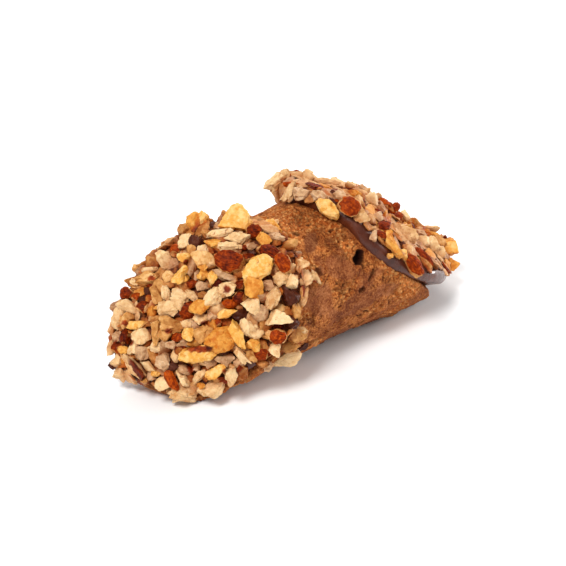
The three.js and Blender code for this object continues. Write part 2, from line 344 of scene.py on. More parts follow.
def dough_finish():
    """Fried dough: a crust of light granules, smooth darker plates and flakes, with painted shade in its
    pits, cracks, holes and hollows and under its far half.
    """
    finish = Finish("fried_dough", Roughness=0.7, Specular_IOR_Level=0.1)
    crumb = finish.noise(0.45, 4, 0.7)
    granule, dome = finish.granules(0.55)
    flake, scale = finish.granules(2.4, 3.4)[0], finish.granules(0.8, 1.3)[0]
    smoothness, grain = finish.attribute("smooth"), finish.attribute("grain")
    mottle = finish.ramp(finish.noise(6, 5, 0.6), (0.3, (188, 110, 52)),
                         (0.5, (202, 125, 62)), (0.7, (214, 140, 76)))
    plates = finish.ramp(finish.noise(2.5, 4, 0.6), (0.3, (166, 96, 54)), (0.7, (194, 124, 74)))
    ground = finish.mix(smoothness, mottle, plates)
    # Painted shade: the low places of the crumb bump are darkened.
    hollow_shade = finish.ramp(crumb, (0.4, (158, 100, 60)), (0.54, 1.0))
    hollow_shade_share = finish.mix(smoothness, 0.9, 0.6)
    ground = finish.mix(hollow_shade_share, ground, finish.tint(ground, hollow_shade))
    flakes = finish.ramp(finish.sum(flake, scale, 0.8), (0.35, (206, 188, 172)),
                         (0.9, (240, 234, 228)), (1.0, 1.0))
    ground = finish.tint(ground, flakes)
    specks = finish.ramp(crumb, (0.58, 0.0), (0.7, 0.6))
    ground = finish.mix(specks, ground, (238, 158, 92))
    grains = finish.ramp(finish.sum(granule, crumb, 0.3), (0.2, (184, 90, 28)),
                         (0.65, (234, 137, 64)), (1.0, (252, 182, 108)))
    crust = finish.mix(grain, ground, grains)
    plate_tint = finish.ramp(finish.attribute("plate"), (0.0, (226, 216, 208)), (1.0, 1.0))
    crust = finish.tint(crust, plate_tint)
    # Painted shade in pits, cracks and holes and under the far half, and the darker patches, are mixed in
    # towards this dark brown.
    finish.set("Base Color", finish.mix(finish.attribute("shade_and_dark_patches"), crust, (40, 10, 2)))
    rough = finish.mix(grain, finish.sum(crumb, scale, 0.3), finish.sum(crumb, dome, -0.7))
    rough = finish.sum(rough, flake, 0.12)
    finish.bump(finish.sum(rough, finish.noise(1.4, 4, 0.65), 0.5), 0.5, 1.0)
    return finish.material


def cream_finish():
    """Set chocolate cream: dark and satin where it is bare, dull under crumbs of nut."""
    finish = Finish("chocolate_cream", Roughness=0.4, Specular_IOR_Level=0.32)
    covered = finish.attribute("covered")
    bare = finish.ramp(finish.noise(5, 4, 0.55), (0.35, (64, 23, 9)), (0.65, (92, 42, 22)))
    crumbs = finish.ramp(finish.noise(0.9, 4, 0.6), (0.4, (76, 28, 8)), (0.6, (146, 78, 32)))
    finish.set("Base Color", finish.mix(covered, bare, crumbs))
    satin = finish.ramp(finish.noise(2.2, 4), (0.35, 0.22), (0.65, 0.42))
    satin = finish.mix(finish.attribute("wet"), satin, 0.2)
    finish.set("Roughness", finish.mix(covered, satin, 0.85))
    finish.bump(finish.noise(1.8, 4, 0.55), 0.25, 0.6)
    return finish.material


def nut_finish(kind, dark, middle, light):
    """A cut nut: its tone differs from chip to chip, from face to face and over the small
    fractures within a face. Deep in the heap it is painted a darker brown, as painted shade. Its skin is
    red-brown and finely wrinkled, and cream clings to its foot."""
    finish = Finish("nut_" + kind, Roughness=0.5, Specular_IOR_Level=0.06 if kind == "skinned" else 0.14,
                    Subsurface_Weight=0.12, Subsurface_Radius=(1.0, 0.6, 0.3), Subsurface_Scale=0.6 * MM)
    tone, fracture = finish.attribute("tone"), finish.granules(0.8)[0]
    shade = finish.sum(finish.sum(tone, finish.noise(1.5, 5, 0.62), 0.8), fracture, 0.2)
    flesh = finish.ramp(shade, (0.35, dark), (0.72, middle), (1.05, light))
    flecks = finish.ramp(finish.noise(1.2, 4, 0.6, 0.4), (0.3, 1.0), (0.4, 0.0))
    flesh = finish.mix(flecks, flesh, finish.mix(0.6, flesh, (150, 70, 14)))
    flesh = finish.mix(finish.attribute("rind"), flesh, finish.mix(0.7, flesh, (190, 106, 38)))
    # Painted shade deep in the heap: a darker brown tint.
    flesh = finish.mix(finish.attribute("deep_shade"), flesh, finish.tint(flesh, DEEP_SHADE_TINT))
    wrinkles = finish.ramp(finish.noise(1.0, 4, 0.66, 0.6), (0.3, 0.0), (0.7, 1.0))
    skin = finish.ramp(finish.sum(tone, wrinkles, 0.45), (0.1, (66, 13, 2)),
                       (0.45, (130, 43, 4)), (0.85, (196, 86, 16)))
    dry = finish.mix(finish.attribute("skin"), flesh, skin)
    finish.set("Base Color", finish.mix(finish.attribute("smear"), dry, (60, 20, 7)))
    finish.bump(finish.sum(finish.noise(0.5, 3, 0.6), fracture, 0.4), 0.16, 1.0)
    return finish.material


def lump_finish():
    """Chips of dark chocolate: darker than the cream, with a dull bloom in places."""
    finish = Finish("dark_chocolate", Roughness=0.4, Specular_IOR_Level=0.14)
    bloom = finish.ramp(finish.noise(1.6, 4, 0.6), (0.35, (56, 19, 7)),
                        (0.6, (80, 35, 17)), (0.78, (104, 60, 40)))
    finish.set("Base Color", bloom)
    finish.bump(finish.noise(0.7, 4, 0.6), 0.2, 0.8)
    return finish.material


# The shell.
TURN_STEPS = 490
WALL_STEPS = 170
INSIDE_STEPS = 8
RIM_DEPTHS = (0.3, 0.7)  # of the rings across a rim, as a share of the wall
CRAG_CIRCLE = 9  # the radius of the ring of noise that the crags of the rims are read off
NEAR_CRAGS, FAR_CRAGS = 0.35, 0.45  # how far they reach
PLAIN_LOOK = {"smooth": 0.0, "grain": 0.0, "shade_and_dark_patches": 0.2, "plate": 1.0}  # of the rims and the inside

# The low relief that the solid shell has too.
RELIEF_SEED = 41
BLISTERS = 110
BLISTER_RADIUS = (2.2, 5)
BLISTER_HEIGHT = (-0.7, 0.7)

# How far the rest stands out of the wall, or is sunk into it.
WAVES, PLATES, FINE_GRAIN = 0.3, 0.3, 0.14
GRANULES, BETWEEN_GRANULES = 0.28, 0.12
CRACKS, PITS = 0.22, 0.3
UNDERSIDE_CRAGS = 0.45
RIDGE = 0.35

# How large plates and granules are, and how far their outlines wander.
PLATE_SIZE, PLATE_BEND = 7.0, 2.2
GRANULE_SIZE, GRANULE_BEND = 0.9, 0.3

# What stands out on the shell's near side, each an oval: x, y, length, width and angle.
SMOOTH_PATCHES = [(311, 242, 24, 13, 80), (335, 237, 16, 9, 40), (319, 272, 13, 9, 70),
                  (340, 268, 34, 22, -30), (362, 300, 40, 16, 25), (322, 300, 34, 22, 70),
                  (385, 290, 26, 12, 20)]
GRAINY_PATCHES = [(300, 222, 52, 22, 0), (345, 244, 40, 14, -45), (332, 226, 30, 14, -30),
                  (408, 290, 34, 14, 25), (285, 212, 40, 12, 10)]
DARK_PATCHES = [(311, 242, 22, 12, 80), (335, 237, 15, 8, 40), (318, 270, 9, 6, 60), (342, 288, 14, 8, 20)]
RIDGES = [(319, 228, 10, 9, 0), (336, 252, 20, 12, -35), (345, 285, 14, 9, 10)]
# Each of these has a depth as well. The first two make up the burst bubble.
HOLES = [(360, 253, 8, 8, 0, 1.8), (358, 260, 10, 8, 20, 1.8), (296, 234, 5, 4, 0, 0.6),
         (362, 290, 6, 4, 40, 0.6), (372, 275, 12, 3, 70, 0.5), (319, 272, 8, 5, -50, 0.6),
         (336, 290, 5, 3, 0, 0.4)]
HOLE_SHADE = 1.3  # how much wider than a hole its painted shadow is
RIDGE_INSIDE = 0.6  # how wide the hollow in a ring-shaped ridge is, as a share of it
RAGGED_PIXELS = 1.6  # how far the outlines of all these wander


def seeded_random(seed):
    state = seed * 7919
    while True:
        state = state * 16807 % 2147483647
        yield state / 2147483647


def blister_relief(x, turn):
    draw = seeded_random(RELIEF_SEED)
    height = np.zeros(np.broadcast(x, turn).shape)

    def between(low, high):
        return low + (high - low) * next(draw)

    for _ in range(BLISTERS):
        centre_x = between(-NEAR.tip, FAR.tip)
        centre_turn = between(0, 2 * math.pi)
        radius = between(*BLISTER_RADIUS)
        rise = between(*BLISTER_HEIGHT)
        away = np.abs(turn - centre_turn)
        arc = np.minimum(away, 2 * math.pi - away) * WAIST_RADIUS
        reach = np.hypot(x - centre_x, arc) / radius
        height += rise * np.maximum(0, 1 - reach * reach) ** 2
    return height


def crust(points, outward, blisters):
    """How far the crust stands out at points of the tube, and what its finish reads there."""
    ragged = np.stack((fractal(points, 1.6, 3, 61.0), fractal(points, 1.6, 3, 71.0)), -1)
    pixels = pixels_of(points) + RAGGED_PIXELS * ragged
    facing = outward @ BACK

    def mark(*oval, edge=0.35):
        return spot(pixels, *oval, edge=edge, facing=facing)

    # Smooth stretches and grainy ones.
    smoothness = smooth(0.05, 0.4, fractal(points, 6, 2, 11.0))
    grainy = smooth(0.0, 0.35, fractal(points, 8, 3, 23.0))
    for patch in SMOOTH_PATCHES:
        here = mark(*patch, edge=0.15)
        smoothness, grainy = np.maximum(smoothness, here), grainy * (1 - here)
    for patch in GRAINY_PATCHES:
        here = mark(*patch)
        grainy, smoothness = np.maximum(grainy, here), smoothness * (1 - here)

    # Plates with seams between them, granules, cracks and pits.
    waves = fractal(points, 9, 3, 5.0)
    fine = fractal(points, 0.9, 2, 3.0)
    wander = GRANULE_BEND * fractal(points, 1.2, 2, 81.0)[:, None]
    nearest, second, _ = cells(points + wander, GRANULE_SIZE)
    granules = smooth(0.0, 0.35, second - nearest) * smooth(0.8, 0.25, nearest)
    wander = np.stack([fractal(points, 5, 3, shift) for shift in (91.0, 95.0, 99.0)], -1)
    nearest, second, shade = cells(points + PLATE_BEND * wander, PLATE_SIZE)
    seams = smooth(0.07, 0.0, second - nearest) * smooth(-0.35, 0.0, fractal(points, 6, 2, 47.0))
    plate = 0.5 + 0.5 * shade
    cracks = smooth(0.10, 0.0, np.abs(fractal(points, 4.5, 3, 31.0)))
    cracks = np.maximum(cracks * smooth(-0.1, 0.25, fractal(points, 7, 2, 41.0)), 0.9 * seams)
    pits = smooth(0.5, 0.75, fractal(points, 1.7, 3, 51.0))
    height = blisters + WAVES * waves + PLATES * (plate - 0.5)
    height += (grainy * (GRANULES * granules - BETWEEN_GRANULES)
               + (FINE_GRAIN + FINE_GRAIN * grainy) * fine * (1 - 0.6 * smoothness))
    height -= CRACKS * cracks * (1 - 0.7 * smoothness) + PITS * pits * (1 - smoothness)
    # Cracks and pits are painted darker: painted shade in them.
    dark = np.maximum(0.55 * cracks, 0.8 * pits) * (1 - 0.8 * smoothness)

    # The underside of the far half is craggy, and where it faces down it is painted darker, as painted shade.
    under = smooth(-0.62, -0.88, outward[:, 2] + 0.15 * waves) * smooth(-14, 0, points[:, 0])
    crags = fractal(points, 2.6, 4, 107.0)
    height += UNDERSIDE_CRAGS * under * crags
    dark = np.maximum(dark, under * (0.4 + 0.35 * crags))

    # What stands out on the near side.
    for patch in DARK_PATCHES:
        dark = np.maximum(dark, 0.32 * mark(*patch, edge=0.15))
    sunk = np.zeros(len(points))
    # A hole is sunk and painted with a shadow a little wider than itself.
    for x, y, length, width, angle, depth in HOLES:
        sunk = np.maximum(sunk, depth * mark(x, y, length, width, angle, edge=0.18))
        shadow = mark(x, y, HOLE_SHADE * length, HOLE_SHADE * width, angle, edge=0.15)
        dark = np.maximum(dark, min(1, depth) * shadow)
    height -= sunk
    # A ring-shaped ridge stands out and is painted darker.
    for x, y, length, width, angle in RIDGES:
        inside = mark(x, y, RIDGE_INSIDE * length, RIDGE_INSIDE * width, angle)
        ring = np.maximum(mark(x, y, length, width, angle) - inside, 0)
        height += RIDGE * ring
        dark = np.maximum(dark, 0.3 * ring)
    grain = grainy * (0.35 + 0.65 * granules)
    return height, {"smooth": smoothness, "grain": grain, "shade_and_dark_patches": dark, "plate": plate}


def make_shell():
    """The shell, and a search tree of its surface."""
    turn = full_turn(TURN_STEPS)
    circle = np.stack((CRAG_CIRCLE * np.cos(turn[0]), CRAG_CIRCLE * np.sin(turn[0]), 0 * turn[0]), -1)
    crags = fractal(circle, 1.6, 3)
    low, high = NEAR.rim_x(turn) - NEAR_CRAGS * crags, FAR.rim_x(turn) + FAR_CRAGS * crags

    def wall(share, inward, pull=0.0):
        x = (low + pull) + (high - low - 2 * pull) * share
        return x, tube_point(x, turn, outer_radius(x) - WALL * inward)

    x, outside = wall(np.linspace(0, 1, WALL_STEPS + 1)[:, None], 0.0, RIM_ROUND)
    flat = outside.reshape(-1, 3)
    outward = unit(flat * (0, 1, 1))
    height, look = crust(flat, outward, blister_relief(x, turn).reshape(-1))
    rings = [(flat + outward * height[:, None]).reshape(outside.shape)]
    rings += [wall(np.ones((1, 1)), depth)[1] for depth in RIM_DEPTHS]
    rings.append(wall(np.linspace(1, 0, INSIDE_STEPS + 1)[:, None], 1.0, RIM_ROUND)[1])
    rings += [wall(np.zeros((1, 1)), depth)[1] for depth in reversed(RIM_DEPTHS)]
    points = np.concatenate(rings)
    points[..., 2] = np.maximum(points[..., 2], underside_z(points[..., 0]))
    rest = len(points) * TURN_STEPS - len(flat)
    look = {key: np.concatenate((values, np.full(rest, PLAIN_LOOK[key]))) for key, values in look.items()}
    faces = ring_faces(len(points), TURN_STEPS, closed=True)
    shell = new_piece("shell_crust", points.reshape(-1, 3), faces, dough_finish(), look)
    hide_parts("shell")
    return BVHTree.FromPolygons(points.reshape(-1, 3).tolist(), faces)


# The cream's mesh. Its rings run from the middle of a mouth over the dome, round the bead and
# back inside the rim.
CREAM_TURNS = 240
DOME_STEPS = 44
BEAD_STEPS = 22
REACHES = np.concatenate((np.linspace(0, DOME_REACH, DOME_STEPS + 1)[1:],
                          np.linspace(DOME_REACH, 1, BEAD_STEPS + 1)[1:]))
INSIDE_DEPTHS = (1.2, 3, 5)
INSIDE_REACH = 2  # what the rings inside the rim count as: farther out than any nut
BROAD_WAVES, FINE_WAVES = 0.35, 0.12
CRUMB_EDGE = 0.03  # how soft the outline of the crumbs between the nuts is, as a reach
CRUMB_INSET = 0.04  # how far inside that of the nuts it is


def cream_point(mouth, turn, reach):
    """A point of the swelling cream: reach 0 is the middle of the mouth, DOME_REACH is
    over the rim, and 1 is the underside of the bead that hangs over the rim."""
    turn, reach = np.broadcast_arrays(np.asarray(turn, float), np.asarray(reach, float))
    spoke = mouth.rim_middle(turn) - mouth.centre
    off = (spoke @ mouth.facing)[..., None] * mouth.facing
    flat = spoke - off
    outward = unit(flat)
    tip = nearness(turn, mouth.tip_turn, TIP_POWER)
    flat = flat - outward * (mouth.tuck * nearness(turn, mouth.tuck_turn, mouth.tuck_power))[..., None]
    overhang = mouth.bead * (1 + mouth.swell * nearness(turn, mouth.swell_turn, SWELL_POWER))
    rho = np.minimum(reach / DOME_REACH, 1)
    along = np.maximum(0, reach - DOME_REACH) / (1 - DOME_REACH)
    angle = math.pi / 2 + (BEAD_UNDER - math.pi / 2) * along
    bead = 0.5 * (mouth.bead + overhang) * np.sin(angle)
    crown = mouth.dome * (1 - rho ** DOME_FULLNESS)
    height = mouth.rise + mouth.tip_rise * rho ** 2 * tip + bead + crown
    return (mouth.centre + flat * rho[..., None] + off * rho[..., None] ** 2
            + outward * (overhang * np.cos(angle))[..., None] + mouth.facing * height[..., None])


def cream_facing(mouth, turn, reach):
    """The outward direction of the cream's surface."""
    point = cream_point(mouth, turn, reach)
    beside = cream_point(mouth, turn + 0.02, reach) - point
    beyond = cream_point(mouth, turn, reach + 0.005) - point
    return unit(-mouth.side * np.cross(beside, beyond))


def covered_reach(mouth, turn):
    """How far out the nuts go."""
    return 1 + (mouth.bare_reach - 1) * nearness(turn, mouth.bare_turn, BARE_POWER)


def mouth_rings(mouth):
    turn = full_turn(CREAM_TURNS)
    rings = cream_point(mouth, turn, REACHES[:, None])
    for depth in INSIDE_DEPTHS:
        x = mouth.rim_x(turn) - mouth.side * depth
        rings = np.concatenate((rings, tube_point(x, turn, outer_radius(x) - WALL - CREAM_CLEARANCE)))
    return rings


def crumb_cover(mouth):
    """How far crumbs of nut cover the points of mouth_rings()."""
    turn = full_turn(CREAM_TURNS)
    reach = np.concatenate((REACHES, [INSIDE_REACH] * len(INSIDE_DEPTHS)))[:, None]
    return smooth(CRUMB_EDGE, -CRUMB_EDGE, reach - covered_reach(mouth, turn) + CRUMB_INSET)


def make_cream():
    """The cream, and a search tree of each of its two swollen faces."""
    near, far = mouth_rings(NEAR), mouth_rings(FAR)
    trees = {}
    for mouth, rings in ((NEAR, near), (FAR, far)):
        faces = ring_faces(len(rings), CREAM_TURNS, closed=False)
        trees[mouth.side] = BVHTree.FromPolygons(rings.reshape(-1, 3).tolist(), faces)
    rings = np.concatenate((near, far[::-1]))
    points = rings.reshape(-1, 3)
    waves = BROAD_WAVES * fractal(points, 5.0, 3, 7.0) + FINE_WAVES * fractal(points, 1.6, 2, 9.0)
    facing = np.repeat([NEAR.facing, FAR.facing], [near.size // 3, far.size // 3], axis=0)
    points = points + waves[:, None] * facing
    covered = np.concatenate((crumb_cover(NEAR), crumb_cover(FAR)[::-1])).reshape(-1)
    for bare_spot in BARE_SPOTS:
        covered *= 1 - spot(pixels_of(points), *bare_spot)

    # A point in the middle of each mouth closes its rings.
    faces = ring_faces(len(rings), CREAM_TURNS, closed=False)
    last = len(points) - CREAM_TURNS
    for i in range(CREAM_TURNS):
        j = (i + 1) % CREAM_TURNS
        faces.append((len(points), j, i))
        faces.append((len(points) + 1, last + i, last + j))
    points = np.concatenate((points, [cream_point(NEAR, 0.0, 0.0), cream_point(FAR, 0.0, 0.0)]))
    covered = np.concatenate((covered, [1, 1]))
    wet = spot(pixels_of(points), *WET_SPOT)
    cream = new_piece("chocolate_cream", points, faces, cream_finish(), {"covered": covered, "wet": wet})
    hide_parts("filling")
    return trees


# The chopped nuts that show, and chips of dark chocolate among them. Each is the oval that
# shows of a chip: x, y, length, width, the angle where it isn't 0, and where it matters
# the number of sides.
NEAR_NUTS = {"pale": [
    (186, 242, 14, 11, 80), (166, 258, 16, 14, -60), (136, 282, 11, 7, -30), (129, 306, 21, 11, -12),
    (166, 292, 16, 8, -75), (179, 299, 18, 15, -40), (192, 295, 14, 7, -35), (213, 297, 20, 12, 70),
    (204, 250, 10, 9), (229, 247, 22, 8, -8), (276, 222, 5, 5), (281, 279, 14, 13), (315, 278, 16, 6, -60),
    (273, 297, 22, 12, 60), (277, 317, 25, 13, 10, 3), (251, 306, 16, 16), (119, 317, 20, 11, 75),
    (142, 336, 17, 14, -10), (111, 347, 15, 9, 80), (135, 347, 15, 9, 55), (151, 349, 8, 7),
    (158, 347, 12, 9), (154, 322, 12, 5, -50), (201, 319, 14, 11), (175, 356, 11, 7, 90),
    (148, 366, 16, 8, -35), (135, 367, 30, 12, -50), (163, 383, 14, 11, 30), (183, 378, 17, 8, -65),
    (199, 376, 16, 6, 40), (212, 388, 25, 17, 20), (241, 355, 20, 8, -50), (247, 329, 20, 14, -70),
    (275, 347, 17, 10, 90, 3), (286, 357, 28, 13, 12, 5), (300, 330, 14, 6, -10), (228, 290, 15, 13),
    (303, 299, 22, 9, 65), (121, 374, 14, 14), (231, 376, 18, 12, 80), (168, 310, 18, 16), (117, 360, 11, 11),
    (149, 270, 17, 6, 5), (183, 392, 26, 15), (255, 331, 14, 12), (186, 324, 14, 8), (220, 234, 24, 9, 15),
    (238, 238, 22, 13, -10), (206, 363, 12, 6), (292, 281, 14, 12, -60), (305, 279, 17, 13, 70),
], "dusty": [
    (197, 276, 10, 5, 85), (203, 287, 10, 8), (217, 227, 7, 6), (277, 237, 12, 8), (252, 247, 9, 7),
    (267, 285, 10, 8), (260, 313, 13, 13), (212, 316, 9, 9), (118, 336, 9, 9), (143, 353, 14, 12),
    (184, 344, 13, 8, 35), (163, 361, 16, 12, -70), (172, 345, 10, 8), (152, 376, 8, 7), (185, 369, 12, 8),
    (197, 366, 9, 8), (225, 358, 14, 9, -20), (239, 363, 10, 9), (224, 276, 20, 8, -25), (268, 366, 9, 9),
], "toasted": [
    (184, 230, 11, 11), (148, 279, 20, 9), (136, 269, 8, 7), (137, 287, 10, 6), (157, 296, 17, 9, -60),
    (160, 286, 12, 10, 45), (170, 277, 11, 10), (203, 260, 18, 14), (129, 318, 10, 9), (279, 308, 10, 8),
    (297, 311, 15, 8, -65), (127, 322, 12, 12), (156, 333, 20, 10, 85), (172, 325, 20, 12, -10),
    (204, 334, 15, 15), (252, 356, 14, 12, -50), (266, 335, 9, 8), (296, 336, 16, 12), (291, 346, 14, 10),
    (166, 334, 12, 11), (203, 295, 8, 6),
], "golden": [
    (193, 222, 20, 13, 85, 6), (203, 219, 13, 12, -20, 5), (181, 276, 19, 13, 80), (184, 259, 11, 10),
    (203, 267, 10, 9), (203, 275, 11, 10), (213, 279, 13, 9, 80), (200, 307, 21, 14, 25),
    (236, 219, 29, 25, 0, 3), (214, 243, 16, 9, -10), (270, 226, 26, 12, -28), (264, 240, 14, 14),
    (257, 269, 32, 20, 38, 7), (254, 287, 22, 17, 100, 6), (228, 313, 18, 9, 15), (125, 350, 14, 8, -25),
    (189, 334, 14, 12, -50), (198, 354, 34, 15, 8, 7), (157, 373, 9, 6), (201, 385, 8, 6),
    (217, 371, 22, 10, 35), (238, 335, 28, 12, -65, 5), (253, 344, 13, 12), (221, 340, 30, 22, 25, 7),
    (136, 325, 18, 8, 5), (159, 307, 9, 5),
], "skinned": [
    (177, 249, 12, 9), (128, 293, 14, 12), (144, 307, 14, 12), (136, 297, 10, 8), (192, 284, 10, 9),
    (254, 231, 15, 14, 0, 8), (243, 248, 9, 5), (230, 262, 29, 21, -10, 9), (248, 258, 13, 9),
    (271, 254, 27, 15, -28, 8), (283, 264, 23, 15, -60, 8), (240, 285, 10, 9), (240, 298, 14, 12),
    (230, 304, 14, 9), (219, 320, 12, 6, 90), (126, 336, 16, 11, 90), (178, 337, 13, 9),
    (172, 380, 22, 10, -65), (278, 336, 16, 15, 0, 7), (261, 354, 14, 11), (268, 353, 12, 8),
], "lump": [
    (197, 244, 16, 17, 20, 5), (148, 293, 10, 10), (180, 312, 11, 9), (240, 315, 17, 11, 10),
    (289, 296, 15, 20, 60, 5), (292, 322, 13, 14, 60, 5), (302, 346, 12, 8, 10), (172, 366, 14, 9, 20),
    (213, 225, 11, 6, 10), (112, 366, 8, 5), (226, 350, 12, 7, 20), (144, 300, 10, 9), (203, 383, 8, 8),
    (252, 252, 9, 6),
]}
FAR_NUTS = {"pale": [
    (296, 178, 20, 12, 10), (285, 175, 10, 9), (308, 177, 13, 12), (371, 203, 16, 13, 90, 3),
    (361, 217, 15, 12, -40), (358, 201, 10, 8, -40), (403, 234, 26, 15, -45, 5), (371, 228, 8, 4),
    (420, 242, 17, 13, 35, 5), (429, 247, 17, 13, 45, 4), (438, 253, 12, 10, 0, 6), (339, 184, 14, 11),
    (406, 216, 16, 7, -70), (290, 193, 20, 9, 48), (276, 183, 22, 15, 48), (322, 184, 30, 9, -18),
], "dusty": [
    (340, 197, 12, 9), (377, 217, 11, 8), (373, 236, 9, 6, 90), (406, 246, 8, 8), (418, 234, 12, 7),
    (443, 256, 8, 7), (302, 194, 15, 11, -5), (320, 197, 15, 9, -20),
], "toasted": [
    (438, 241, 12, 8, -30),
], "golden": [
    (328, 209, 24, 13, -38, 8), (354, 195, 12, 8), (391, 205, 7, 6), (391, 246, 27, 12, -60),
    (403, 255, 12, 8, 90), (390, 256, 6, 5), (432, 236, 13, 6), (449, 246, 15, 17, 0, 6),
    (449, 264, 17, 12, 0, 5),
], "skinned": [
    (349, 207, 22, 20, -30, 8), (291, 185, 16, 4), (312, 189, 8, 4), (345, 190, 14, 3),
    (384, 203, 14, 8, -25), (396, 207, 9, 9), (396, 218, 14, 13, -45), (378, 212, 11, 5),
    (384, 227, 18, 11, 15), (381, 235, 12, 9), (423, 258, 25, 10, -70), (413, 265, 24, 13, -55, 8),
    (437, 249, 5, 5), (445, 237, 4, 4),
], "lump": [
    (378, 205, 8, 7), (334, 194, 8, 6, -30), (402, 244, 7, 6), (333, 203, 12, 5, -50),
]}

# Where the cream shows between them, and where it shines.
BARE_SPOTS = [(240, 315, 16, 9, 10), (252, 368, 18, 8), (372, 245, 30, 12, -45), (400, 270, 40, 12, -20),
              (434, 276, 22, 20)]
WET_SPOT = (440, 277, 26, 26)

# Thin skin left on the side of a chip.
SKIN_PATCHES = [
    (152, 278, 8, 5), (116, 346, 5, 13), (205, 323, 10, 5, 10), (137, 370, 28, 7, -52),
    (191, 369, 14, 7, -65), (200, 349, 28, 7, 2), (186, 262, 5, 6), (169, 331, 9, 6), (125, 323, 7, 6),
    (128, 341, 10, 12, 60), (297, 273, 8, 6), (315, 283, 6, 7), (227, 289, 7, 8, 40), (224, 371, 4, 4),
    (386, 203, 15, 8, -25),
]

# The kinds: what share of the chips that fill in each one has, and its dark, middle and
# light flesh.
NUT_SHARES = {"pale": 0.32, "toasted": 0.27, "dusty": 0.16, "golden": 0.09, "skinned": 0.16}
NUT_TONES = {
    "pale": ((190, 134, 78), (227, 188, 136), (242, 209, 160)),
    "toasted": ((148, 84, 30), (204, 146, 80), (230, 186, 126)),
    "dusty": ((156, 108, 70), (202, 160, 118), (226, 194, 156)),
    "golden": ((190, 106, 26), (226, 163, 74), (240, 200, 130)),
    "skinned": ((160, 92, 38), (208, 152, 90), (232, 190, 132)),
}
DEEP_SHADE_TINT = (198, 132, 70)  # the painted shade that nuts deep in the heap are tinted by
TONE_RANGE = (0.06, 0.28)  # of whole chips
NUT_SEED = 12

# The chips of the tables: how high their middle is out of the cream, as a share of their
# height, and how much larger they are than what shows of them.
NUT_LIFT = {"pale": 0.6, "golden": 0.75, "toasted": 0.5, "dusty": 0.45, "skinned": 0.65, "lump": 0.35}
HIGHEST_LIFT = 2.2
FLATTEST_SIGHT = 0.45  # a lift is along the sight, and no longer than it is at this slope
NUT_FULLNESS = {"pale": 1.26, "golden": 1.2, "toasted": 1.38, "dusty": 1.38, "skinned": 1.12, "lump": 1.2}
NUT_TILT = 0.22
LOOSE = (1.2, 1)  # how far a chip looks at the camera, and what share of NUT_TILT it has
SIDED = (3, 0.3)  # the same for one whose number of sides is given
BIG_NUT = 3.2  # half the length past which a chip gets the finest mesh

# What fills in under and between them: half sizes, how many at each mouth, how far from
# each other and from the chips above as a share of their sizes, how high their middle is
# out of the cream, mesh detail, and a shift in tone, below 0 as painted shade that darkens the chips under
# and between the others.
NUT_FILLS = [
    ((2.8, 2.1, 1.6), 120, 0.7, 0.54, 0.1, 4, -0.1),
    ((2.2, 1.6, 1.3), 140, 0.66, 0.54, 0.2, 3, -0.12),
    ((1.5, 1.1, 0.9), 170, 0.66, 0.6, 0.3, 3, -0.1),
    ((0.9, 0.6, 0.5), 110, 0.75, 0.74, 0.6, 2, -0.05),
]
FILL_TRIES = 8000
FILL_RANGE = (0.75, 1.2)  # how much their sizes differ
FILL_TILT, FLAT_TILT = 0.45, 0.12
LOW_HEIGHT = 0.35  # of those in front of a shown nut, as a share of the others
OPEN_DISTANCES = (3.0, 6.0)  # from the chips above: past these a fill stands higher and has less painted shade
LESS_FILL_SHADE = 0.12

# The shape of a chip, on a scale where it reaches out to about 1.
ROUND_SIDES = 7  # from this many sides on, a chip is evenly round and its top is the nut's outside
SHARPNESS = 64
FARTHEST_CORNER = 1.6
SIDE_JITTER, GIVEN_JITTER = 0.28, 0.1  # of the turns of its sides, the second if their number is given
SIDE_LEAN, TOP_LEAN, FOOT_LEAN = 0.6, 0.5, 0.3
FACE_OFFSETS, CUT_OFFSETS = (0.62, 1.0), (0.76, 0.98)  # of its faces, and of those that cut corners off
LATER_OFFSETS, ROUND_OFFSETS = (0.38, 1.0), (0.9, 1.0)  # of later blocks, and of a round chip's sides
BULGE, BULGE_TOP = (1.1, 1.5), 0.9  # the radius of the nut's outside, and how far out it is
FACE_TONE = 0.15  # how much the tone differs from face to face
RIND_SHARE = 0.08  # of the faces
OUTSIDE_SHARE = 0.12  # of the chips that have a part of the nut's round outside but no skin
DENT_WIDTH, DENT_DEPTH = (0.2, 0.5), (0.08, 0.3)
SHARP_EDGE = math.radians(30)

# How high over the cream a chip is painted with shade deep in the heap, and smeared with cream.
DEEP_SHADE_HEIGHTS = (2.3, 0.4)
DEEP_SHADE_SHOWN = 0.5  # how far the chips that show get that painted shade
SMEAR_HEIGHTS = (0.8, 0.1)
CLEAN_HEIGHTS = (0.2, -0.3)  # past these, on the chip's own scale, one that shows is clean
NUT_CLEARANCE = 0.1  # over the floor


def unit_ball(subdivisions):
    ball = bmesh.new()
    bmesh.ops.create_icosphere(ball, subdivisions=subdivisions, radius=1)
    points = np.array([v.co for v in ball.verts])
    faces = np.array([[v.index for v in f.verts] for f in ball.faces])
    ball.free()
    return points, faces


def build_heap(name, chips, material):
    """One mesh of all the chips of a kind. A chip is its points, its faces and its look."""
    starts = np.cumsum([0] + [len(points) for points, _, _ in chips])
    faces = np.concatenate([faces + start for (_, faces, _), start in zip(chips, starts)])
    look = {key: np.concatenate([look[key] for _, _, look in chips]) for key in chips[0][2]}
    piece = new_piece(name, np.concatenate([chip[0] for chip in chips]), faces.tolist(), material, look)
    piece.data.set_sharp_from_angle(angle=SHARP_EDGE)
    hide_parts("filling")


